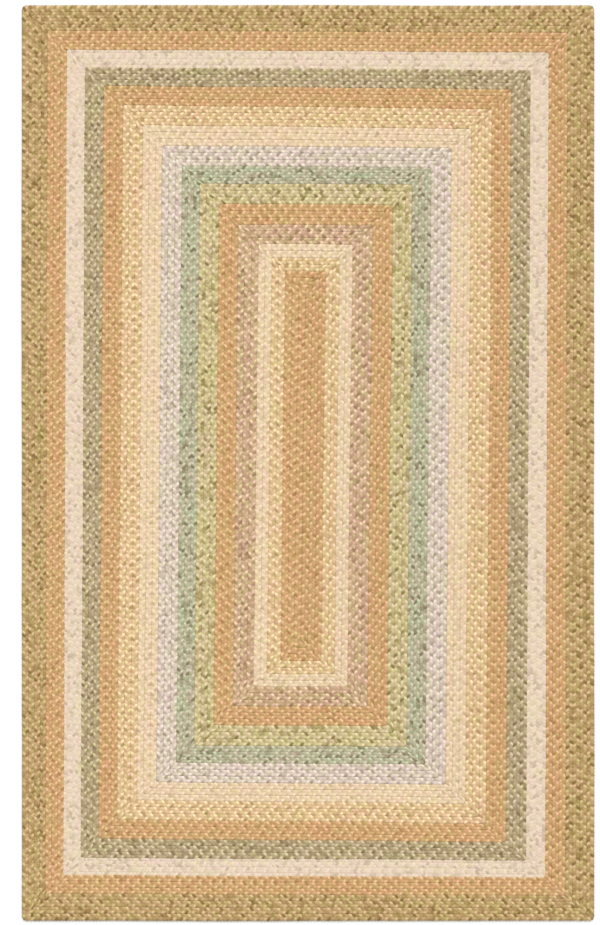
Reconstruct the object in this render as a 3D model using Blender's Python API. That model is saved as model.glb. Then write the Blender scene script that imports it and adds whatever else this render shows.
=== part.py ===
"""Rectangular braided rug, 5 ft by 8 ft, lying face up on the floor.

Fifteen three-strand braids are wound flat round a straight middle, each two to four laps deep, and
laced side to side. A braid is one solid of its wound form: every lap is a ridge that shows the same
on both faces, with the laced seam as a groove beside it. The plaiting itself is too fine for the
solids.

X runs across the rug and Y along it, the upper end of the picture being +Y. The origin is on the
floor under the middle of the rug's outline. All lengths are in metres unless a name says otherwise.
"""

import math

import bpy
import numpy as np

MM = 0.001

# The rug's driving sizes
WIDTH = 1.524  # 5 ft, along X
LENGTH = 2.4384  # 8 ft, along Y
THICKNESS = 0.010  # over the crown of a lap, top to bottom
SEAM_DEPTH = 0.0024  # how far a laced seam lies below the crowns, on each face
SHOULDER = 0.24  # where a lap's flat crown starts, as a share of the lap's width
LACING_GAP = 0.0003  # left clear where one braid is laced to the next
TURN_RADIUS = 0.012  # at which a lap turns the rug's corners

# How evenly it is sewn
SWAY = 0.0012  # how far the edge of a braid wanders from a straight line
SWAY_WAVES = (0.9, 1.6)  # waves of that sway along one side, the long one and the short one
EDGE_PHASE, SIDE_PHASE = 0.7, 2.0  # radians that set the sway of one edge or side apart from the next
FULL_SWAY_RUN = 1.0  # a side shorter than this sways less, in proportion
SECTIONS_LONG = 3  # sections between the corners of a long side
SECTIONS_SHORT = 2  # and of a short side
TURN_POINTS = 3  # sections round a corner
SHARP_FROM = math.radians(50)  # an edge that folds more than this is shaded sharp

# One row for each braid, from the edge of the rug to its middle. The four widths are the band's own,
# in millimetres, measured at the middle of the left, right, near (-Y) and far (+Y) side. The leans are
# those of its inner edge, in millimetres per metre clockwise, along the sides and along the ends.
BRAID_COLUMNS = ("name", "laps", "left", "right", "near", "far", "side_lean", "end_lean", "colour")
BRAID_TABLE = (
    ("braid_01_olive", 4, 65, 74, 70, 70, 2.5, 4.0, "olive"),
    ("braid_02_tan", 3, 50, 52, 49, 52, 4.5, 5.5, "tan"),
    ("braid_03_cream", 3, 47, 49, 45, 47, 5.5, 6.5, "cream"),
    ("braid_04_sage", 3, 49, 53, 50, 50, 7.0, 9.5, "sage"),
    ("braid_05_tan", 3, 50, 52, 50, 52, 8.5, 11.5, "tan"),
    ("braid_06_gold", 3, 53, 55, 52, 53, 9.0, 12.0, "gold"),
    ("braid_07_ivory", 3, 52, 53, 50, 53, 9.0, 8.5, "ivory"),
    ("braid_08_lilac", 3, 53, 54, 53, 53, 10.0, 6.0, "lilac"),
    ("braid_09_aqua", 3, 47, 50, 46, 46, 10.0, 6.0, "aqua"),
    ("braid_10_lime", 3, 52, 52, 55, 54, 11.0, 6.0, "lime"),
    ("braid_11_tan", 3, 51, 53, 51, 55, 11.0, 6.0, "tan"),
    ("braid_12_rose", 3, 54, 53, 52, 51, 12.0, 6.0, "rose"),
    ("braid_13_ivory", 2, 36, 35, 34, 37, 12.5, 6.0, "ivory"),
    ("braid_14_gold", 2, 36, 36, 35, 35, 12.5, 6.0, "gold"),
    ("braid_15_tan", 3, 53, 53, 53, 53, 12.5, 6.0, "tan"),
)
BRAIDS = [dict(zip(BRAID_COLUMNS, row)) for row in BRAID_TABLE]

# Yarn colours, as red, green and blue from 0 to 255 on a screen
YARN = {
    "olive": (187, 157, 107),
    "tan": (208, 167, 116),
    "cream": (231, 211, 183),
    "sage": (184, 166, 127),
    "gold": (225, 192, 146),
    "ivory": (231, 206, 170),
    "lilac": (216, 201, 180),
    "aqua": (185, 180, 149),
    "lime": (202, 185, 137),
    "rose": (207, 175, 139),
}
YARN_ROUGHNESS = 0.9


def yarn_material(colour):
    """A matt material of the yarn's colour, made once and shared by the braids of that colour."""
    material = bpy.data.materials.get(colour)
    if material is None:
        material = bpy.data.materials.new(colour)
        material.use_nodes = True
        shader = material.node_tree.nodes["Principled BSDF"]
        screen = np.array(YARN[colour]) / 255
        linear = np.where(screen > 0.04045, ((screen + 0.055) / 1.055) ** 2.4, screen / 12.92)
        shader.inputs["Base Color"].default_value = (*linear, 1)
        shader.inputs["Roughness"].default_value = YARN_ROUGHNESS
        shader.inputs["Metallic"].default_value = 0
    return material


def corners(edge, inset):
    """The four corners of an edge in plan, anticlockwise from near left.

    Edge 0 is the rug's outline and edge n is the inner edge of braid n. An edge is four straight
    lines, each moved in from the outline by the widths of the braids outside it, moved in by inset
    once more, and leaning clockwise about the middle of its side.
    """
    outside = BRAIDS[:edge]
    left, right, near, far = (
        inset + MM * sum(braid[side] for braid in outside) for side in ("left", "right", "near", "far")
    )
    side_lean = MM * outside[-1]["side_lean"] if outside else 0
    end_lean = MM * outside[-1]["end_lean"] if outside else 0
    x_of_side = {"left": -WIDTH / 2 + left, "right": WIDTH / 2 - right}
    y_of_end = {"near": -LENGTH / 2 + near, "far": LENGTH / 2 - far}
    found = []
    for side, end in (("left", "near"), ("right", "near"), ("right", "far"), ("left", "far")):
        x = (x_of_side[side] + side_lean * y_of_end[end]) / (1 + side_lean * end_lean)
        found.append((x, y_of_end[end] - end_lean * x))
    return np.array(found)


def edge_loop(edge, inset=0.0):
    """An edge of a braid as a closed loop of points in plan, anticlockwise, its corners rounded.

    Each of the four sides gives the round corner at its start and then its sections, which sway from
    the straight line by two waves that die out towards the corners.
    """
    corner = corners(edge, inset)
    along = np.roll(corner, -1, axis=0) - corner
    side_length = np.linalg.norm(along, axis=1)
    along /= side_length[:, None]
    radius = min(TURN_RADIUS, side_length.min() / 3)
    points = []
    for side in range(4):
        before, after = along[side - 1], along[side]
        centre = corner[side] + radius * (after - before)
        for step in range(TURN_POINTS):
            angle = step / (TURN_POINTS - 1) * math.pi / 2
            points.append(centre - radius * (math.cos(angle) * after - math.sin(angle) * before))
        start = corner[side] + radius * after
        run = side_length[side] - 2 * radius
        outward = np.array((after[1], -after[0]))
        sections = SECTIONS_SHORT if side % 2 == 0 else SECTIONS_LONG
        for section in range(1, sections + 1):
            share = section / (sections + 1)
            wave = sum(
                math.sin(math.tau * waves * share + edge * (EDGE_PHASE + waves) + side * SIDE_PHASE)
                for waves in SWAY_WAVES
            )
            sway = SWAY / 2 * wave * math.sin(math.pi * share) * min(1, run / FULL_SWAY_RUN)
            points.append(start + share * run * after + sway * outward)
    return np.array(points)


def lap_profile(laps):
    """A braid's cross-section, as (share of the way from its outer to its inner edge, height).

    Over the top each lap is a groove point and the two shoulders of its crown. The underside is the
    same the other way up, and the two end in an upright wall at each edge.
    """
    top = []
    for lap in range(laps):
        top += [
            (lap / laps, THICKNESS - SEAM_DEPTH),
            ((lap + SHOULDER) / laps, THICKNESS),
            ((lap + 1 - SHOULDER) / laps, THICKNESS),
        ]
    top.append((1, THICKNESS - SEAM_DEPTH))
    underside = [(share, THICKNESS - height) for share, height in reversed(top)]
    return top + underside


def wound_braid(number, collection):
    """One braid as a closed solid: its lap profile lofted round the rug.

    Every point of the profile is a rail that runs round between the braid's outer and inner edge, and
    neighbouring rails are joined by quads. The innermost braid has no hole: its two last rails, which
    run round the seam at the middle of the rug, are filled instead.
    """
    braid = BRAIDS[number]
    at_outline = number == 0
    at_middle = number == len(BRAIDS) - 1
    outer = edge_loop(number, 0 if at_outline else LACING_GAP / 2)
    inner = edge_loop(number + 1, 0 if at_middle else -LACING_GAP / 2)
    profile = lap_profile(braid["laps"])
    rails, stations = len(profile), len(outer)
    outline = edge_loop(0)
    rug_middle = (outline.min(axis=0) + outline.max(axis=0)) / 2

    share = np.array([point[0] for point in profile])[:, None, None]
    height = np.array([point[1] for point in profile])[:, None, None]
    plan = outer * (1 - share) + inner * share - rug_middle
    vertices = np.concatenate([plan, np.broadcast_to(height, (rails, stations, 1))], axis=2)

    index = np.arange(rails * stations).reshape(rails, stations)
    here, ahead = index, np.roll(index, -1, axis=1)
    beside, beside_ahead = np.roll(here, -1, axis=0), np.roll(ahead, -1, axis=0)
    quads = np.stack([here, ahead, beside_ahead, beside], axis=2)
    fillings = []
    if at_middle:
        inmost_top, inmost_under = rails // 2 - 1, rails // 2
        quads = np.delete(quads, inmost_top, axis=0)
        fillings = [index[inmost_top].tolist(), index[inmost_under][::-1].tolist()]

    mesh = bpy.data.meshes.new(braid["name"])
    mesh.from_pydata(vertices.reshape(-1, 3).tolist(), [], quads.reshape(-1, 4).tolist() + fillings)
    mesh.materials.append(yarn_material(braid["colour"]))
    mesh.shade_smooth()
    mesh.set_sharp_from_angle(angle=SHARP_FROM)
    solid = bpy.data.objects.new(braid["name"], mesh)
    collection.objects.link(solid)
    return solid


for old in list(bpy.data.objects):
    bpy.data.objects.remove(old, do_unlink=True)

rug = bpy.data.collections.new("braided_rug")
bpy.context.scene.collection.children.link(rug)
for number in range(len(BRAIDS)):
    wound_braid(number, rug)
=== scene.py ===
"""Looks of a rectangular rug of three-strand braids, wound flat round a straight seam and laced.

Each braid is modelled with its strands in relief, lap by lap, in the place of its CAD solid. The
sections follow the making of the rug from the middle out. Lengths are in metres unless a name says
otherwise.
"""

import math

import bpy
import numpy as np
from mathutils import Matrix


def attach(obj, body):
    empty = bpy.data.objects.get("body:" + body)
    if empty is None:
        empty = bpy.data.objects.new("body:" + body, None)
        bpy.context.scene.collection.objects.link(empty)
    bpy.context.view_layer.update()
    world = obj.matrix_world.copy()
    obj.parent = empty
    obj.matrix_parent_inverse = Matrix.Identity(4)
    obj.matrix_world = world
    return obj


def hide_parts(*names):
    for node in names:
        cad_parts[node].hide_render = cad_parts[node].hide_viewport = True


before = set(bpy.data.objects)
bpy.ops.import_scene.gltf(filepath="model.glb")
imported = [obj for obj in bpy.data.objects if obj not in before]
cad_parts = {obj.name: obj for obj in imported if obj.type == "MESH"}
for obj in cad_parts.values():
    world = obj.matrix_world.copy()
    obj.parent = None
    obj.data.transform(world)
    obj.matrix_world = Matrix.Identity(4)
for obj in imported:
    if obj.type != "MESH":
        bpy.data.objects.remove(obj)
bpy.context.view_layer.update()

# ---------------------------------------------------------------------------------------------------
# Braid 15, the middle of the rug, tan. A flat braid of three soft strands, one tan, one peach and one
# brown, is folded on itself round a straight seam and wound three laps deep, each lap laced to the
# last one edge to edge. The yarn is space dyed, so its colour changes a little all along a strand.

MM = 0.001
THICKNESS = 0.010  # of the braid over its crowns, from face to face
TURN, FREE_TURN = 0.004, 0.010  # radius at which a laced edge turns a corner, and the rug's free edge
FAN = 0.040  # how far from a corner the stitches of a lap start to fan out
WOBBLES = ((0.8, 1.1), (0.5, 2.3), (0.22, 9.0), (0.15, 17.0))  # mm, and waves along a side
METRE_PHASE, SIDE_PHASE = 7.3, 0.37  # turns that set the waves of one seam and side off from the next


def outline_of(node):
    """The four corners of a CAD braid's outer edge in plan, anticlockwise from near left.

    The edge turns a corner on an arc of CAD_TURN, so the corner itself lies outside the arc's middle,
    the arc's furthest point along the diagonal, by (sqrt 2 - 1) radii.
    """
    CAD_TURN = 0.012
    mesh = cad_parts[node].data
    places = np.empty(len(mesh.vertices) * 3, np.float32)
    mesh.vertices.foreach_get("co", places)
    plan = places.reshape(-1, 3)[:, :2].astype(float)
    diagonals = np.array([(-1, -1), (1, -1), (1, 1), (-1, 1)]) / math.sqrt(2)
    furthest = plan[np.argmax(plan @ diagonals.T, axis=0)]
    return furthest + (math.sqrt(2) - 1) * CAD_TURN * diagonals


def side_lengths(corners):
    """The four sides of a closed outline: their unit directions of travel and their lengths."""
    steps = np.roll(corners, -1, axis=0) - corners
    lengths = np.linalg.norm(steps, axis=1)
    return steps / lengths[:, None], lengths


def wobble(corners, side, share):
    """How far a seam strays outward at a share of its side.

    It is a sum of sine waves that die out towards the corners. Their phases come from the length of
    the seam, so the laps on both sides of it agree.
    """
    phase = side_lengths(corners)[1].sum() * METRE_PHASE
    waves = sum(
        size * MM * np.sin(math.tau * (count * share + phase * (n + 1) + side * SIDE_PHASE))
        for n, (size, count) in enumerate(WOBBLES)
    )
    return waves * np.sin(math.pi * share)


def rail(outer, inner, across, travel, turn):
    """Points and outward directions in plan along one rail of a lap.

    The rail lies a share `across` of the way from the lap's outer to its inner corners. `travel` is
    measured along the lap's middle line, anticlockwise from the near left corner. On a straight a
    point lies square across from the middle line. Within FAN of a corner the points spread along the
    rail, so that every rail reaches its own corner after the same number of stitches, and within `turn`
    of it they lie on a quarter round.
    """
    corner = outer + (inner - outer) * across
    ahead, length = side_lengths(corner)
    middle_length = side_lengths((outer + inner) / 2)[1]
    end_of_side = np.cumsum(middle_length)
    travel = travel % end_of_side[-1]
    side = np.minimum(np.searchsorted(end_of_side, travel, side="right"), 3)
    after_corner = travel - (end_of_side - middle_length)[side]
    before_corner = middle_length[side] - after_corner
    inset = (middle_length - length)[side] / 2
    fan = np.minimum(FAN, middle_length[side] / 2)
    spread = np.clip(1 - after_corner / fan, 0, 1) - np.clip(1 - before_corner / fan, 0, 1)
    along = after_corner - inset * (1 - spread)

    turn = min(turn, length.min() / 3)  # so a third of the shortest side stays straight
    rest = length[side] - along
    leaving = along < rest
    near = np.minimum(np.minimum(along, rest), turn) / turn
    vertex = np.where(leaving, side, (side + 1) % 4)
    before, after = ahead[vertex - 1], ahead[vertex]
    angle = (math.pi / 4 * np.where(leaving, 1 + near, 1 - near))[:, None]
    out_round = np.sin(angle) * before - np.cos(angle) * after
    on_round = corner[vertex] + turn * (after - before) + turn * out_round
    out_straight = np.stack([ahead[side, 1], -ahead[side, 0]], axis=1)
    on_straight = corner[side] + along[:, None] * ahead[side]
    turning = (near < 1)[:, None]
    outward = np.where(turning, out_round, out_straight)
    share = np.clip(along / length[side], 0, 1)
    stray = (1 - across) * wobble(outer, side, share) + across * wobble(inner, side, share)
    return np.where(turning, on_round, on_straight) + stray[:, None] * outward, outward


# The section of the plaited lap as rails that run along it: round from its outer edge, over the top to
# its inner edge and back underneath. `reach` is how far along its crossing a strand is there, from -1
# at the middle of the underside through 0 at the edge to 1 at the middle of the top. The edges lie near
# the top, so a laced seam is shallow on the face that shows and deep on the one that lies down.
TUCK = 0.2  # how far past the middle a strand goes before the one from the other side covers it
RAIL_COLUMNS = ("across", "height", "reach", "points")  # share of the lap, mm, share, points per plait
RAIL_TABLE = (
    (0.00, 8.6, 0.0, 6),
    (0.25, 10.0, 0.5, 12),
    (0.50, 8.0, 1.0 - TUCK, 6),
    (0.75, 10.0, 0.5, 12),
    (1.00, 8.6, 0.0, 6),
    (0.75, 0.0, -0.5, 6),
    (0.50, 2.0, -1.0 + TUCK, 6),
    (0.25, 0.0, -0.5, 6),
)
RAILS = [dict(zip(RAIL_COLUMNS, row)) for row in RAIL_TABLE]
OUTER_RAIL = 0
MIDDLE_RAILS = (2, 6)  # where the two columns of strands meet, on top and underneath
INNER_RAILS = (3, 4, 5)  # on the inner column
STEPS = 12  # of the finest rails in one plait
STRAND_STEPS = STEPS // 3  # to each of its three strands
LATE_STEPS = STRAND_STEPS // 2  # by which the strands of the inner column follow the outer ones
CROSSING = 0.19  # plaits that a strand advances from the edge of a lap to its middle
CREASE = 0.22  # how deep the crease between two strands is, as a share of half the thickness
BULGE, NICK = 0.0028, 0.0013  # how far past the lap's edge a strand bulges, and the crease beside it
SWING = 0.0007  # how far the crown of a strand moves sideways as the strand crosses
UNEVEN = 0.16  # by which a strand's height varies, as a share of half the thickness
SWELL_POWER = 0.8  # below 1, so a strand is full until close to its creases

# Triangles between two rails over two steps, as (which rail, step) corners, by the rails' points
CELLS = {
    (6, 6): (((0, 0), (0, 2), (1, 2)), ((0, 0), (1, 2), (1, 0))),
    (6, 12): (((0, 0), (1, 1), (1, 0)), ((0, 0), (0, 2), (1, 1)), ((0, 2), (1, 2), (1, 1))),
    (12, 6): (((0, 0), (0, 1), (1, 0)), ((0, 1), (1, 2), (1, 0)), ((0, 1), (0, 2), (1, 2))),
}


def lap_rails(outer, inner, plaits, start, rng, free_edge):
    """Vertices of one plaited lap, rail by rail.

    Each step round the lap is shared by all rails, but a rail lies behind the middle of the top by
    CROSSING for each unit of reach, so a mesh line follows a strand. Along a rail the strands swell
    in turn: a crown falls to a crease between two strands and an edge bulges and draws in. The
    middle goes to and fro by TUCK of half the lap, because each strand covers the end of one from
    the other side. A free edge has nothing laced to it, so it is round and turns its corners wider.
    """
    lap_length = side_lengths((outer + inner) / 2)[1].sum()
    half_width = (side_lengths(outer)[1] - side_lengths(inner)[1]).mean() / 4
    fullness = 1 - UNEVEN * rng.random((2, 3 * plaits))
    found = []
    for number, shape in enumerate(RAILS):
        step = np.arange(plaits * shape["points"]) * (STEPS // shape["points"])
        travel = (step / STEPS + start - CROSSING * (1 - shape["reach"])) / plaits * lap_length
        turn = TURN + (FREE_TURN - TURN) * (1 - shape["across"]) * free_edge
        plan, outward = rail(outer, inner, shape["across"], travel, turn)
        height = np.full(len(step), shape["height"] * MM)
        if free_edge and number == OUTER_RAIL:
            height[:] = THICKNESS / 2
        if number in MIDDLE_RAILS:
            sideways = TUCK * half_width * np.cos(math.tau * step / STRAND_STEPS)
        else:
            inner_side = number in INNER_RAILS
            strand = (step - LATE_STEPS * inner_side) / STRAND_STEPS
            swell = np.sin(math.pi * (strand % 1)) ** SWELL_POWER
            full = np.where(swell > 0, fullness[int(inner_side), np.floor(strand).astype(int)], 1)
            if shape["reach"]:
                height = THICKNESS / 2 + (height - THICKNESS / 2) * full * (1 - CREASE * (1 - swell))
                sideways = SWING * (1 - 2 * swell)
            else:
                sideways = BULGE * swell + NICK * (1 - swell)
            sideways *= -1 if inner_side else 1
        found.append(np.column_stack([plan + np.reshape(sideways, (-1, 1)) * outward, height]))
    return found


def lap_faces(plaits):
    """Triangles of one lap as (rail, step) corners, and for each whether it is on the inner column.

    Between each rail and the next, one cell of triangles repeats every two steps.
    """
    rails, steps, inner_side = [], [], []
    for number, shape in enumerate(RAILS):
        beside = RAILS[(number + 1) % len(RAILS)]
        cell = np.array(CELLS[shape["points"], beside["points"]])
        first = 2 * np.arange(plaits * STEPS // 2)[:, None, None]
        steps.append((first + cell[None, :, :, 1]).reshape(-1, 3))
        rails.append(np.tile(number + cell[:, :, 0], (len(first), 1)))
        inner_side.append(np.full(len(steps[-1]), MIDDLE_RAILS[0] <= number < MIDDLE_RAILS[1]))
    return np.concatenate(rails), np.concatenate(steps), np.concatenate(inner_side)


def strand_maps(rails, steps, inner_side, first_strand):
    """The `strand` and `yarn` UV values at the corners of a lap's triangles.

    Map `strand` runs along a strand's crossing as reach does and across its width from 0 to 1, but the
    corner that the strand from the other side covers is its tip, at a reach of 1 + TUCK. Map `yarn`
    counts half crossings along the braid, and numbers the lap's three strands from first_strand.
    """
    reach = np.array([shape["reach"] for shape in RAILS + RAILS[:1]])
    at_middle = np.isin(np.arange(len(reach)), MIDDLE_RAILS)
    inner_side = inner_side[:, None]
    late = LATE_STEPS * inner_side
    crossing = np.floor((steps.mean(axis=1, keepdims=True) - late) / STRAND_STEPS)
    on_top = (reach[rails].sum(axis=1) > 0)[:, None]
    across = (steps - late) / STRAND_STEPS - crossing
    across = np.where(on_top, across, 1 - across)
    covered = at_middle[rails] & (across == 0.5)
    along = np.where(covered, (1 + TUCK) / (1 - TUCK), 1) * reach[rails]
    strand_map = np.stack([along, np.where(covered, 0, across)], axis=2)
    strand_number = first_strand + (crossing - inner_side) % 3
    yarn_map = np.stack([2 * crossing + inner_side, strand_number], axis=2)
    return strand_map, np.broadcast_to(yarn_map, strand_map.shape)


def round_mesh(name, vertices, corners, uv_maps):
    """A mesh of these triangles, shaded round, with a UV map for each name and its values."""
    mesh = bpy.data.meshes.new(name)
    mesh.vertices.add(len(vertices))
    mesh.vertices.foreach_set("co", vertices.astype(np.float32).ravel())
    mesh.loops.add(corners.size)
    mesh.loops.foreach_set("vertex_index", corners.astype(np.int32).ravel())
    mesh.polygons.add(len(corners))
    mesh.polygons.foreach_set("loop_start", np.arange(0, corners.size, 3, dtype=np.int32))
    for layer, values in uv_maps.items():
        uv = mesh.uv_layers.new(name=layer, do_init=False)
        uv.uv.foreach_set("vector", values.astype(np.float32).ravel())
    mesh.update(calc_edges=True)
    mesh.shade_smooth()
    return mesh


MOST_LAPS = 4  # of any braid, so that every strand of the rug gets a number of its own
PRESSED_FROM = math.radians(50)  # an edge that folds more than this isn't shaded round once pressed
STRIP_FILL = 0.97  # of the height of a strip in the flat map, which keeps one strip off the next
MAP_MARGIN = 0.001  # left free round the flat map


def wind_braid(name, number, outer, inner, laps, plait, starts, free_edge=False, pressed=False):
    """A braid of `laps` laps between its outer and inner corners, as one object of closed laps.

    `plait` is about how long one plait of its three strands is, and `starts` are the shares of a
    plait at which each lap starts. The laps of a pressed braid lie so tight together that their edges
    don't show round. Returns the object and its flat size, the width of its laps side by side and
    their mean length. UV maps `strand` and `yarn` are those of strand_maps. UV map `OFBake` lays the
    laps out flat, cut into stacked strips, for a texture of the whole braid.
    """
    width = float((side_lengths(outer)[1] - side_lengths(inner)[1]).mean()) / 2
    points = np.array([shape["points"] for shape in RAILS])
    section = [(shape["across"] * width / laps, shape["height"] * MM) for shape in RAILS + RAILS[:1]]
    girth = np.concatenate([[0], np.cumsum(np.linalg.norm(np.diff(section, axis=0), axis=1))])
    lap_corners = [
        (outer + (inner - outer) * lap / laps, outer + (inner - outer) * (lap + 1) / laps)
        for lap in range(laps)
    ]
    lengths = [side_lengths((here + beside) / 2)[1].sum() for here, beside in lap_corners]
    plaits_of = [round(length / plait) for length in lengths]
    plaits_per_strip = max(1, round(math.sqrt(sum(plaits_of) * girth[-1] / plait)))
    strips_before, vertices_before = 0, 0
    vertices, corners, strand_map, yarn_map, flat_map = [], [], [], [], []
    for lap, (plaits, (here, beside)) in enumerate(zip(plaits_of, lap_corners)):
        rng = np.random.default_rng((number, lap))
        vertices += lap_rails(here, beside, plaits, starts[lap], rng, free_edge and lap == 0)
        rails, steps, inner_side = lap_faces(plaits)
        counts = plaits * points
        base = vertices_before + np.concatenate([[0], np.cumsum(counts)[:-1]])
        shapes = rails % len(RAILS)
        spacing = STEPS * plaits // counts[shapes]
        corners.append(base[shapes] + steps // spacing % counts[shapes])

        first_strand = 3 * (MOST_LAPS * number + lap)
        along_strand, of_yarn = strand_maps(rails, steps, inner_side, first_strand)
        strand_map.append(along_strand)
        yarn_map.append(of_yarn)

        strip = steps.mean(axis=1, keepdims=True) // (STEPS * plaits_per_strip)
        along_strip = steps / (STEPS * plaits_per_strip) - strip
        up_strip = strips_before + strip + STRIP_FILL * girth[rails] / girth[-1]
        flat_map.append(np.stack([along_strip, up_strip], axis=2))
        strips_before += math.ceil(plaits / plaits_per_strip)
        vertices_before += plaits * points.sum()
    flat_map = np.concatenate(flat_map) / (1, strips_before) * (1 - 2 * MAP_MARGIN) + MAP_MARGIN

    uv_maps = {
        "strand": np.concatenate(strand_map),
        "yarn": np.concatenate(yarn_map),
        "OFBake": flat_map,
    }
    mesh = round_mesh(name, np.concatenate(vertices), np.concatenate(corners), uv_maps)
    if pressed:
        mesh.set_sharp_from_angle(angle=PRESSED_FROM)
    braid = bpy.data.objects.new(name, mesh)
    bpy.context.scene.collection.objects.link(braid)
    return braid, (width, float(np.mean(lengths)))


def shader_group(name, inputs, outputs):
    """An empty shader node group with these sockets: its tree, its input node and its output node."""
    tree = bpy.data.node_groups.new(name, "ShaderNodeTree")
    for direction, sockets in (("INPUT", inputs), ("OUTPUT", outputs)):
        for socket, kind in sockets:
            tree.interface.new_socket(socket, in_out=direction, socket_type=f"NodeSocket{kind}")
    return tree, tree.nodes.new("NodeGroupInput"), tree.nodes.new("NodeGroupOutput")


def fill(tree, socket, value):
    """Links a socket's value from another socket, or sets it to a plain one."""
    if isinstance(value, bpy.types.NodeSocket):
        tree.links.new(value, socket)
    else:
        socket.default_value = value


def calculate(tree, operation, *values):
    """A Math node's result for these values, each a number or another node's output."""
    node = tree.nodes.new("ShaderNodeMath")
    node.operation = operation
    for socket, value in zip(node.inputs, values):
        fill(tree, socket, value)
    return node.outputs[0]


def combine(tree, x, y, z=0.0):
    """A vector of three values."""
    node = tree.nodes.new("ShaderNodeCombineXYZ")
    for socket, value in zip(node.inputs, (x, y, z)):
        fill(tree, socket, value)
    return node.outputs[0]


def separate(tree, uv_map):
    """The two values of a UV map."""
    source = tree.nodes.new("ShaderNodeUVMap")
    source.uv_map = uv_map
    node = tree.nodes.new("ShaderNodeSeparateXYZ")
    tree.links.new(source.outputs[0], node.inputs[0])
    return node.outputs[0], node.outputs[1]


def blend(tree, share, first, second, kind="MIX"):
    """Two colours mixed, the second by this share."""
    FIRST_COLOUR, SECOND_COLOUR, MIXED_COLOUR = 6, 7, 2  # a Mix node's colour sockets
    node = tree.nodes.new("ShaderNodeMix")
    node.data_type = "RGBA"
    node.blend_type = kind
    fill(tree, node.inputs["Factor"], share)
    fill(tree, node.inputs[FIRST_COLOUR], first)
    fill(tree, node.inputs[SECOND_COLOUR], second)
    return node.outputs[MIXED_COLOUR]


def chance(tree, x, y, z):
    """A number from 0 to 1 that is the same all over one whole-numbered cell and unlike its neighbours'."""
    WELL_INSIDE = 0.25  # added, so that a whole number never lies on the edge of its cell
    node = tree.nodes.new("ShaderNodeTexWhiteNoise")
    node.noise_dimensions = "3D"
    cell = [calculate(tree, "FLOOR", calculate(tree, "ADD", value, WELL_INSIDE)) for value in (x, y, z)]
    tree.links.new(combine(tree, *cell), node.inputs["Vector"])
    return node.outputs["Value"]


def fade(tree, value, low, high):
    """0 below low, 1 above high, and a smooth step between."""
    node = tree.nodes.new("ShaderNodeMapRange")
    node.interpolation_type = "SMOOTHSTEP"
    fill(tree, node.inputs["Value"], value)
    node.inputs["From Min"].default_value = low
    node.inputs["From Max"].default_value = high
    return node.outputs["Result"]


def strand_relief():
    """Group: the shape of the strands where they cross, their plies and the creases beside them.

    Height is half a circle across the strand, plus half a sine wave along its crossing, plus PLIES
    small waves that run along it with a slight twist, plus the fuzz of the yarn. Crease rises from 0 to
    1 where a strand meets the next one, and towards its end, which slants because a strand from the
    other side covers it; it sets the painted shade of the creases. Crown is 1 away from the creases and
    a little less at the lap's edge; it keeps the strands' second and third colours to their crowns, which
    paints shade on the light strand at its creases and the lap's edge. Ply is a number for each ply.
    """
    PLIES, TWIST = 5, 1.6  # plies across a strand, and how many of them it turns through in a crossing
    DOME, PILLOW, PLY_DEPTH, FUZZ = 0.8, 1.3, 0.22, 0.35  # how high each part stands
    FUZZ_SCALE, FUZZ_DETAIL = 900.0, 2.0  # its specks to a metre, and how finely they break up
    SIDE_CREASE = (0.55, 0.95)  # where it rises, between the strand's middle line at 0 and its sides at 1
    END_CREASE = (0.6 + TUCK, 1 + TUCK)  # where it rises along the crossing, up to the strand's tip
    EDGE_CROWN = (-0.5, 0.1)  # where the crown rises along it, starting beyond the lap's edge at 0
    tree, _, out = shader_group(
        "strand_relief", (), [(name, "Float") for name in ("Height", "Crease", "Crown", "Ply")]
    )
    reach, across = separate(tree, "strand")
    crossing, strand = separate(tree, "yarn")
    off_edge = calculate(tree, "ABSOLUTE", reach)
    off_middle = calculate(tree, "ABSOLUTE", calculate(tree, "MULTIPLY_ADD", across, 2.0, -1.0))
    square = calculate(tree, "POWER", off_middle, 2.0)
    dome = calculate(tree, "SQRT", calculate(tree, "SUBTRACT", 1.0, square))
    half_turn = calculate(tree, "MULTIPLY", calculate(tree, "MINIMUM", off_edge, 1.0), math.pi)
    pillow = calculate(tree, "SINE", half_turn)
    ply = calculate(tree, "MULTIPLY_ADD", across, float(PLIES), calculate(tree, "MULTIPLY", reach, TWIST))
    ply_turn = calculate(tree, "MULTIPLY", ply, math.pi)
    ply_round = calculate(tree, "ABSOLUTE", calculate(tree, "SINE", ply_turn))
    fuzz = tree.nodes.new("ShaderNodeTexNoise")
    fuzz.noise_dimensions = "3D"
    fuzz.inputs["Scale"].default_value = FUZZ_SCALE
    fuzz.inputs["Detail"].default_value = FUZZ_DETAIL
    place = tree.nodes.new("ShaderNodeTexCoord")
    tree.links.new(place.outputs["Object"], fuzz.inputs["Vector"])
    height = calculate(tree, "MULTIPLY", dome, DOME)
    for part, depth in ((pillow, PILLOW), (ply_round, PLY_DEPTH), (fuzz.outputs[0], FUZZ)):
        height = calculate(tree, "MULTIPLY_ADD", part, depth, height)
    side_crease = fade(tree, off_middle, *SIDE_CREASE)
    end = calculate(tree, "MULTIPLY_ADD", across, 2 * TUCK, off_edge)
    end_crease = fade(tree, end, *END_CREASE)
    crease = calculate(tree, "MAXIMUM", side_crease, end_crease)
    uncreased = calculate(tree, "SUBTRACT", 1.0, crease)
    # partly painted light: the crown mask keeps the light strand's colour off its creases and the lap's
    # edge, a painted shade there
    crown = calculate(tree, "MULTIPLY", uncreased, fade(tree, off_edge, *EDGE_CROWN))
    tree.links.new(height, out.inputs["Height"])
    tree.links.new(crease, out.inputs["Crease"])
    tree.links.new(crown, out.inputs["Crown"])
    tree.links.new(chance(tree, ply, crossing, strand), out.inputs["Ply"])
    return tree


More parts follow.
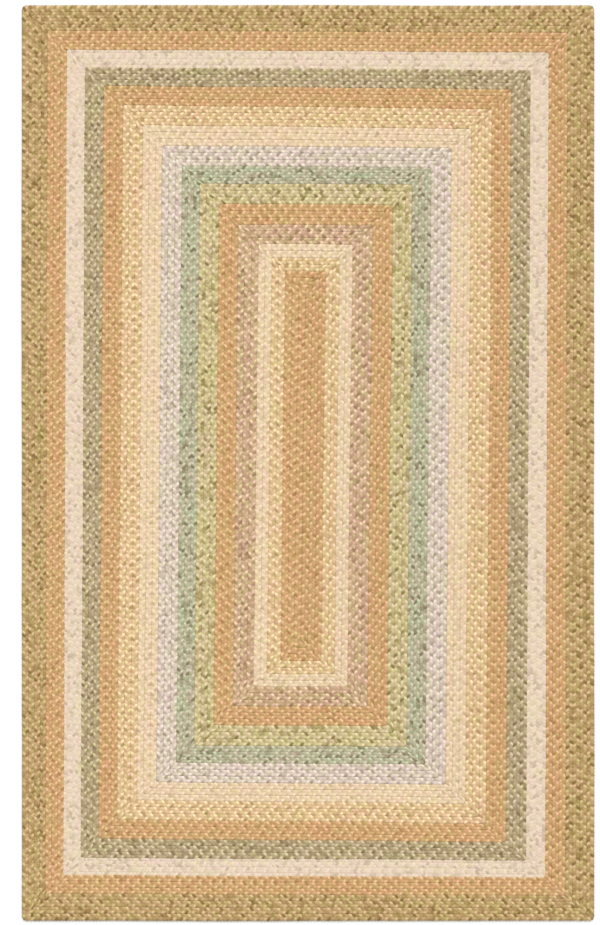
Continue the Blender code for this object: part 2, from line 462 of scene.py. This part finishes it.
def space_dye():
    """Group: the colour of the yarn, which differs from strand to strand and changes along each.

    A strand has the first, second or third colour by its number, the last two in full on its crown only:
    towards its creases and the lap's edge they fade to the first colour, a painted shade on the light
    strand and less contrast on the dark one. Three dyes then tint it, each a colour to multiply by: two
    come and go over RUNS plaits, where a smooth noise along the strand passes a level set by the dye's
    share, and the third is on single crossings, a share of them.
    """
    RUNS = (4.5, 1.6)  # plaits
    UNDYED = (1.0, 1.0, 1.0, 1.0)
    HALF_CROSSINGS = 6  # in a plait, two for each of its strands
    STRAND_APART, DYE_APART = 3.7, 50.0  # how far off in the noise the next strand and dye are read
    SHARE_LIFT = 0.5  # by which a whole share lifts the noise
    DYED_OVER = (0.72, 0.80)  # the level from which a dye shows, and from which it shows in full
    SPOT_CHANCE = 3.0  # sets the chance of a dyed crossing off from the chances of the plies
    tree, given, out = shader_group(
        "space_dye",
        [(name, "Color") for name in ("First", "Second", "Third", "Dye 1", "Dye 2", "Dye 3")]
        + [(name, "Float") for name in ("Share 1", "Share 2", "Share 3", "Crown")],
        [("Colour", "Color")],
    )
    give = given.outputs
    crossing, strand = separate(tree, "yarn")
    reach, _ = separate(tree, "strand")
    advance = calculate(tree, "MULTIPLY", reach, CROSSING)
    along = calculate(tree, "MULTIPLY_ADD", crossing, 1 / HALF_CROSSINGS, advance)
    order = calculate(tree, "MODULO", strand, 3.0)
    other = blend(tree, calculate(tree, "GREATER_THAN", order, 1.5), give["Second"], give["Third"])
    # the second and third colours show in full on the crown only: painted shade on the light strand towards
    # its creases
    share = calculate(tree, "MULTIPLY", calculate(tree, "GREATER_THAN", order, 0.5), give["Crown"])
    colour = blend(tree, share, give["First"], other)
    for n, run in enumerate(RUNS):
        drift = tree.nodes.new("ShaderNodeTexNoise")
        drift.noise_dimensions = "2D"
        drift.inputs["Scale"].default_value = 1.0
        drift.inputs["Detail"].default_value = 1.0
        across = calculate(tree, "MULTIPLY_ADD", strand, STRAND_APART, DYE_APART * n)
        place = combine(tree, calculate(tree, "MULTIPLY", along, 1 / run), across)
        tree.links.new(place, drift.inputs["Vector"])
        over = calculate(tree, "MULTIPLY_ADD", give[f"Share {n + 1}"], SHARE_LIFT, drift.outputs[0])
        tint = blend(tree, fade(tree, over, *DYED_OVER), UNDYED, give[f"Dye {n + 1}"])
        colour = blend(tree, 1.0, colour, tint, "MULTIPLY")
    spot = chance(tree, crossing, strand, SPOT_CHANCE)
    spotted = calculate(tree, "LESS_THAN", spot, give["Share 3"])
    tint = blend(tree, spotted, UNDYED, give["Dye 3"])
    tree.links.new(blend(tree, 1.0, colour, tint, "MULTIPLY"), out.inputs["Colour"])
    return tree


def screen(red, green, blue):
    """A colour given as it looks on a screen, from 0 to 255, in the linear values that a shader takes."""
    parts = np.array((red, green, blue)) / 255
    return (*np.where(parts > 0.04045, ((parts + 0.055) / 1.055) ** 2.4, parts / 12.92), 1.0)


def yarn(name, strands, dyes, shade=0.10, relief_strength=0.5):
    """A material of matt braided yarn.

    strands are the colours of its three strands, as they look on a screen. dyes are (colour, share)
    for each of its three dyes, the colour being that of the first strand when dyed. shade is how much
    darker the creases are painted, a painted shadow in them, and relief_strength how clearly the
    strands' own relief shows.
    """
    HEATHER = 0.16  # by which the plies of a strand differ
    RELIEF_HEIGHT = 0.0012  # of a height of 1 in the relief
    ROUGHNESS, GLOSS, SHEEN = 0.9, 0.2, 0.1  # of matt spun yarn
    material = bpy.data.materials.new(name)
    material.use_nodes = True
    tree = material.node_tree
    shader = tree.nodes["Principled BSDF"]
    relief = tree.nodes.new("ShaderNodeGroup")
    relief.node_tree = bpy.data.node_groups.get("strand_relief") or strand_relief()
    dye = tree.nodes.new("ShaderNodeGroup")
    dye.node_tree = bpy.data.node_groups.get("space_dye") or space_dye()
    for socket, colour in zip(("First", "Second", "Third"), strands):
        dye.inputs[socket].default_value = screen(*colour)
    for n, (colour, share) in enumerate(dyes):
        tint = np.array(screen(*colour)) / screen(*strands[0])
        dye.inputs[f"Dye {n + 1}"].default_value = tint
        dye.inputs[f"Share {n + 1}"].default_value = share
    tree.links.new(relief.outputs["Crown"], dye.inputs["Crown"])
    light = calculate(tree, "MULTIPLY_ADD", relief.outputs["Ply"], HEATHER, 1 - HEATHER / 2)
    # painted shade: the colour is darkened by shade where the Crease mask rises, for the shadow in the
    # creases
    painted_crease_shade = calculate(tree, "MULTIPLY_ADD", relief.outputs["Crease"], -shade, 1.0)
    value = calculate(tree, "MULTIPLY", light, painted_crease_shade)
    shaded = blend(tree, 1.0, dye.outputs["Colour"], combine(tree, value, value, value), "MULTIPLY")
    tree.links.new(shaded, shader.inputs["Base Color"])
    bump = tree.nodes.new("ShaderNodeBump")
    bump.inputs["Strength"].default_value = relief_strength
    bump.inputs["Distance"].default_value = RELIEF_HEIGHT
    tree.links.new(relief.outputs["Height"], bump.inputs["Height"])
    tree.links.new(bump.outputs["Normal"], shader.inputs["Normal"])
    shader.inputs["Roughness"].default_value = ROUGHNESS
    shader.inputs["Specular IOR Level"].default_value = GLOSS
    shader.inputs["Sheen Weight"].default_value = SHEEN
    return material


SEAM_WIDTH = 0.0004  # left between the runs that meet in the middle of the rug
edge_15 = outline_of("braid_15_tan")
middle_width = side_lengths(edge_15)[1].min() - SEAM_WIDTH
middle_seam = edge_15 - np.sign(edge_15 - edge_15.mean(axis=0)) * middle_width / 2
braid_15, flat_15 = wind_braid(
    "braid_15_tan_plaited", 15, edge_15, middle_seam, laps=3, plait=0.0274, starts=(0.16, 0.50, 0.48)
)
tan_yarn = yarn(
    "tan_yarn_plaited",
    strands=((208, 168, 118), (232, 192, 144), (187, 146, 97)),
    dyes=(((210, 162, 116), 0.45), ((201, 168, 111), 0.40), ((193, 152, 102), 0.12)),
)
braid_15.data.materials.append(tan_yarn)
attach(braid_15, "root")
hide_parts("braid_15_tan")

# ---------------------------------------------------------------------------------------------------
# Braid 14, gold: two laps laced round the middle braid. Its strands are gold, pale straw and a light
# brown, plaited a little longer than the tan.

edge_14 = outline_of("braid_14_gold")
braid_14, flat_14 = wind_braid(
    "braid_14_gold_plaited", 14, edge_14, edge_15, laps=2, plait=0.0289, starts=(0.85, 0.14)
)
gold_yarn = yarn(
    "gold_yarn_plaited",
    strands=((226, 194, 149), (250, 221, 178), (200, 167, 121)),
    dyes=(((227, 187, 150), 0.35), ((218, 193, 139), 0.40), ((207, 174, 128), 0.12)),
)
braid_14.data.materials.append(gold_yarn)
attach(braid_14, "root")
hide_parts("braid_14_gold")

# ---------------------------------------------------------------------------------------------------
# Braid 13, ivory: two laps laced round the gold. Its three strands are nearly the same ivory, so the
# plaits show less.

edge_13 = outline_of("braid_13_ivory")
braid_13, flat_13 = wind_braid(
    "braid_13_ivory_plaited", 13, edge_13, edge_14, laps=2, plait=0.0268, starts=(0.48, 0.41)
)
ivory_yarn = yarn(
    "ivory_yarn_plaited",
    strands=((226, 202, 168), (238, 215, 182), (210, 185, 151)),
    dyes=(((228, 198, 169), 0.40), ((223, 202, 159), 0.35), ((212, 187, 153), 0.12)),
    shade=0.04,
    relief_strength=0.3,
)
braid_13.data.materials.append(ivory_yarn)
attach(braid_13, "root")
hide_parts("braid_13_ivory")

# ---------------------------------------------------------------------------------------------------
# Braid 12, rose: three laps laced round the ivory. Its strands are a dusty rose brown, a light one and
# a dark one, in the longest plaits of the rug.

edge_12 = outline_of("braid_12_rose")
braid_12, flat_12 = wind_braid(
    "braid_12_rose_plaited", 12, edge_12, edge_13, laps=3, plait=0.0293, starts=(0.31, 0.79, 0.18)
)
rose_yarn = yarn(
    "rose_yarn_plaited",
    strands=((210, 179, 143), (240, 209, 174), (182, 150, 114)),
    dyes=(((204, 165, 139), 0.40), ((198, 175, 127), 0.35), ((190, 158, 122), 0.20)),
)
braid_12.data.materials.append(rose_yarn)
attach(braid_12, "root")
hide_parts("braid_12_rose")

# ---------------------------------------------------------------------------------------------------
# Braid 11, tan: three laps laced round the rose, of the same yarn as the middle braid but in slightly
# longer plaits.

edge_11 = outline_of("braid_11_tan")
braid_11, flat_11 = wind_braid(
    "braid_11_tan_plaited", 11, edge_11, edge_12, laps=3, plait=0.0279, starts=(0.99, 0.33, 0.61)
)
braid_11.data.materials.append(tan_yarn)
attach(braid_11, "root")
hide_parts("braid_11_tan")

# ---------------------------------------------------------------------------------------------------
# Braid 10, lime: three laps laced round the tan. Its strands are lime, a pale one and a darker one,
# and the darkest dye sits on single crossings.

edge_10 = outline_of("braid_10_lime")
braid_10, flat_10 = wind_braid(
    "braid_10_lime_plaited", 10, edge_10, edge_11, laps=3, plait=0.0285, starts=(0.02, 0.32, 0.92)
)
lime_yarn = yarn(
    "lime_yarn_plaited",
    strands=((209, 193, 145), (228, 212, 164), (178, 161, 111)),
    dyes=(((209, 187, 151), 0.35), ((199, 187, 131), 0.40), ((165, 148, 98), 0.13)),
)
braid_10.data.materials.append(lime_yarn)
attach(braid_10, "root")
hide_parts("braid_10_lime")

# ---------------------------------------------------------------------------------------------------
# Braid 9, aqua: three laps laced round the lime. Its strands are a grey green aqua, a pale one and a
# darker one, with dark single crossings like the lime's.

edge_9 = outline_of("braid_09_aqua")
braid_9, flat_9 = wind_braid(
    "braid_09_aqua_plaited", 9, edge_9, edge_10, laps=3, plait=0.0275, starts=(0.56, 0.97, 0.04)
)
aqua_yarn = yarn(
    "aqua_yarn_plaited",
    strands=((187, 181, 150), (208, 202, 171), (163, 156, 124)),
    dyes=(((182, 186, 151), 0.40), ((193, 179, 155), 0.30), ((148, 140, 110), 0.13)),
)
braid_9.data.materials.append(aqua_yarn)
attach(braid_9, "root")
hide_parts("braid_09_aqua")

# ---------------------------------------------------------------------------------------------------
# Braid 8, lilac: three laps laced round the aqua. Its strands are a pale lilac grey, a lighter one and
# a dark one.

edge_8 = outline_of("braid_08_lilac")
braid_8, flat_8 = wind_braid(
    "braid_08_lilac_plaited", 8, edge_8, edge_9, laps=3, plait=0.0289, starts=(0.24, 0.78, 0.16)
)
lilac_yarn = yarn(
    "lilac_yarn_plaited",
    strands=((221, 206, 186), (234, 220, 202), (185, 169, 149)),
    dyes=(((225, 203, 193), 0.40), ((217, 205, 177), 0.35), ((201, 185, 165), 0.18)),
)
braid_8.data.materials.append(lilac_yarn)
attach(braid_8, "root")
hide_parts("braid_08_lilac")

# ---------------------------------------------------------------------------------------------------
# Braid 7, ivory: three laps laced round the lilac, of the same yarn as braid 13, so its plaits show as
# little.

edge_7 = outline_of("braid_07_ivory")
braid_7, flat_7 = wind_braid(
    "braid_07_ivory_plaited", 7, edge_7, edge_8, laps=3, plait=0.0269, starts=(0.71, 0.19, 0.31)
)
braid_7.data.materials.append(ivory_yarn)
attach(braid_7, "root")
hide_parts("braid_07_ivory")

# ---------------------------------------------------------------------------------------------------
# Braid 6, gold: three laps laced round the ivory, of the same yarn as braid 14 but in slightly shorter
# plaits.

edge_6 = outline_of("braid_06_gold")
braid_6, flat_6 = wind_braid(
    "braid_06_gold_plaited", 6, edge_6, edge_7, laps=3, plait=0.0284, starts=(0.04, 0.75, 0.88)
)
braid_6.data.materials.append(gold_yarn)
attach(braid_6, "root")
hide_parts("braid_06_gold")

# ---------------------------------------------------------------------------------------------------
# Braid 5, tan: three laps laced round the gold, of the same yarn as the middle braid and in plaits of
# the same length.

edge_5 = outline_of("braid_05_tan")
braid_5, flat_5 = wind_braid(
    "braid_05_tan_plaited", 5, edge_5, edge_6, laps=3, plait=0.0273, starts=(0.34, 0.43, 0.12)
)
braid_5.data.materials.append(tan_yarn)
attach(braid_5, "root")
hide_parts("braid_05_tan")

# ---------------------------------------------------------------------------------------------------
# Braid 4, sage: three laps laced round the tan. Its strands are a grey green, a pale one and a dark
# one, the most mixed of the rug's yarns.

edge_4 = outline_of("braid_04_sage")
braid_4, flat_4 = wind_braid(
    "braid_04_sage_plaited", 4, edge_4, edge_5, laps=3, plait=0.0282, starts=(0.25, 0.06, 0.38)
)
sage_yarn = yarn(
    "sage_yarn_plaited",
    strands=((186, 167, 129), (213, 196, 158), (155, 136, 98)),
    dyes=(((186, 173, 125), 0.25), ((189, 168, 136), 0.40), ((160, 140, 103), 0.20)),
)
braid_4.data.materials.append(sage_yarn)
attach(braid_4, "root")
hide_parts("braid_04_sage")

# ---------------------------------------------------------------------------------------------------
# Braid 3, cream: three laps laced round the sage. Its three strands are almost the same pale cream, so
# it is the smoothest band of the rug.

edge_3 = outline_of("braid_03_cream")
braid_3, flat_3 = wind_braid(
    "braid_03_cream_plaited",
    3,
    edge_3,
    edge_4,
    laps=3,
    plait=0.0278,
    starts=(0.10, 0.15, 0.77),
    pressed=True,
)
cream_yarn = yarn(
    "cream_yarn_plaited",
    strands=((221, 202, 177), (226, 208, 184), (213, 193, 168)),
    dyes=(((223, 199, 181), 0.40), ((220, 204, 170), 0.30), ((200, 181, 156), 0.14)),
    shade=0.0,
    relief_strength=0.3,
)
braid_3.data.materials.append(cream_yarn)
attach(braid_3, "root")
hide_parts("braid_03_cream")

# ---------------------------------------------------------------------------------------------------
# Braid 2, tan: three laps laced round the cream, of the same yarn as the middle braid and in plaits of
# the same length. It is the last band before the border.

edge_2 = outline_of("braid_02_tan")
braid_2, flat_2 = wind_braid(
    "braid_02_tan_plaited", 2, edge_2, edge_3, laps=3, plait=0.0274, starts=(0.80, 0.27, 0.16)
)
braid_2.data.materials.append(tan_yarn)
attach(braid_2, "root")
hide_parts("braid_02_tan")

# ---------------------------------------------------------------------------------------------------
# Braid 1, olive: four laps laced round the tan, the last of them the rug's free edge, which is left
# without a binding. Its strands are olive, a pale straw and a dark olive brown.

EDGE_INSET = 0.0016  # of the free lap's edge, past which its strands bulge to the rug's outline
edge_1 = outline_of("braid_01_olive")
edge_1 -= EDGE_INSET * np.sign(edge_1)
braid_1, flat_1 = wind_braid(
    "braid_01_olive_plaited",
    1,
    edge_1,
    edge_2,
    laps=4,
    plait=0.0269,
    starts=(0.37, 0.67, 0.15, 0.79),
    free_edge=True,
)
olive_yarn = yarn(
    "olive_yarn_plaited",
    strands=((196, 166, 116), (218, 189, 140), (167, 137, 87)),
    dyes=(((195, 160, 116), 0.35), ((187, 164, 105), 0.40), ((164, 133, 83), 0.18)),
)
braid_1.data.materials.append(olive_yarn)
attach(braid_1, "root")
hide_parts("braid_01_olive")

# ---------------------------------------------------------------------------------------------------
# The studio: a plain white floor under the rug, an even white sky and one soft light that comes from
# beyond the far end, about half way up the sky.

FLOOR_SIZE = 60.0
FLOOR_WHITE = (0.93, 0.93, 0.925, 1)
FLOOR_ROUGHNESS = 0.9
SKY_WHITE = (1, 1, 1, 1)
SKY_STRENGTH = 0.81
KEY_STRENGTH = 1.6
KEY_SPREAD = math.radians(25)
KEY_TILT = (math.radians(-44), math.radians(8), 0)
bpy.ops.mesh.primitive_plane_add(size=FLOOR_SIZE)
floor = bpy.context.object
floor.name = "floor"
floor_paint = bpy.data.materials.new("floor_paint")
floor_paint.use_nodes = True
floor_shader = floor_paint.node_tree.nodes["Principled BSDF"]
floor_shader.inputs["Base Color"].default_value = FLOOR_WHITE
floor_shader.inputs["Roughness"].default_value = FLOOR_ROUGHNESS
floor.data.materials.append(floor_paint)

sky = bpy.data.worlds.new("studio_sky")
sky.use_nodes = True
sky.node_tree.nodes["Background"].inputs["Color"].default_value = SKY_WHITE
sky.node_tree.nodes["Background"].inputs["Strength"].default_value = SKY_STRENGTH
bpy.context.scene.world = sky

key_light = bpy.data.lights.new("soft_key", "SUN")
key_light.energy = KEY_STRENGTH
key_light.angle = KEY_SPREAD
key = bpy.data.objects.new("soft_key", key_light)
key.rotation_euler = KEY_TILT
bpy.context.scene.collection.objects.link(key)

# ---------------------------------------------------------------------------------------------------
# The camera looks straight down on the rug, as in the photograph. FRAME_HEIGHT is the length of floor
# that fills the picture from top to bottom, at the height of the rug's crowns.

CAMERA_HEIGHT = 6.0
CAMERA_X, CAMERA_Y = -0.0210, 0.0017  # the rug lies a little off the middle of the photograph
FRAME_HEIGHT = 2.4628
SENSOR_HEIGHT_MM = 24
FURTHEST_SEEN = 50
view = bpy.data.cameras.new("camera")
view.sensor_fit = "VERTICAL"
view.sensor_height = SENSOR_HEIGHT_MM
view.lens = SENSOR_HEIGHT_MM * (CAMERA_HEIGHT - THICKNESS) / FRAME_HEIGHT
view.clip_end = FURTHEST_SEEN
camera = bpy.data.objects.new("camera", view)
camera.location = (CAMERA_X, CAMERA_Y, CAMERA_HEIGHT)
bpy.context.scene.collection.objects.link(camera)
bpy.context.scene.camera = camera
bpy.context.scene.view_settings.view_transform = "Standard"
